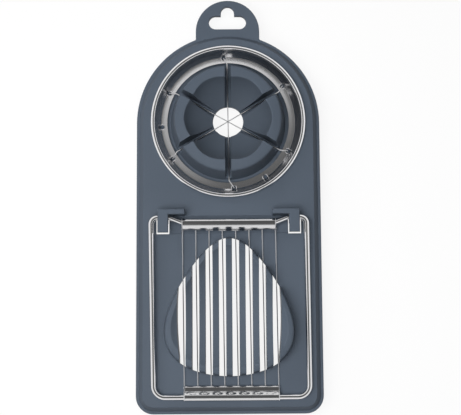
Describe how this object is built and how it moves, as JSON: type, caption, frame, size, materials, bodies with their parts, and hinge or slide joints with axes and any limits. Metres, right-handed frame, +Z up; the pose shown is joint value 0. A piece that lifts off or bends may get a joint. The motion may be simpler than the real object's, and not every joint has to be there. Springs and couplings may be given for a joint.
{
  "type": "egg slicer",
  "caption": "Egg slicer with a ribbed egg cradle under a hinged wire frame, a wedge cup under a lift-off wire ring, and a hang tab at one end.",
  "frame": {"origin": "on the table under the middle of the tray's box, tab included", "axes": "+Y from the slicing end to the hang tab, +Z up out of the plate, +X to the right seen from above"},
  "size_m": [0.0834, 0.1882, 0.0231],
  "materials": {
    "tray_plastic": "satin",
    "rod_steel": "polished",
    "sheet_steel": "bright",
    "wire_steel": "drawn"
  },
  "bodies": {
    "base": {"base": "tray_plastic"},
    "slicer_frame": {"frame_rod": "rod_steel", "hinge_bar": "sheet_steel", "front_bar": "sheet_steel", "slicing_wire_1": "wire_steel", "slicing_wire_2": "wire_steel", "slicing_wire_3": "wire_steel", "slicing_wire_4": "wire_steel", "slicing_wire_5": "wire_steel", "slicing_wire_6": "wire_steel", "slicing_wire_7": "wire_steel", "slicing_wire_8": "wire_steel"},
    "wedge_cutter": {"cutter_ring": "sheet_steel", "wedge_wire_1": "wire_steel", "wedge_wire_2": "wire_steel", "wedge_wire_3": "wire_steel"}
  },
  "joints": [
    {"name": "frame_hinge", "type": "hinge", "parent": "base", "child": "slicer_frame", "pos_m": [0, -0.00755, 0.0182], "axis": [-1, 0, 0], "range_deg": [0, 95]},
    {"name": "ring_lift", "type": "slide", "parent": "base", "child": "wedge_cutter", "axis": [0, 0, 1], "range_m": [0, 0.06]}
  ]
}
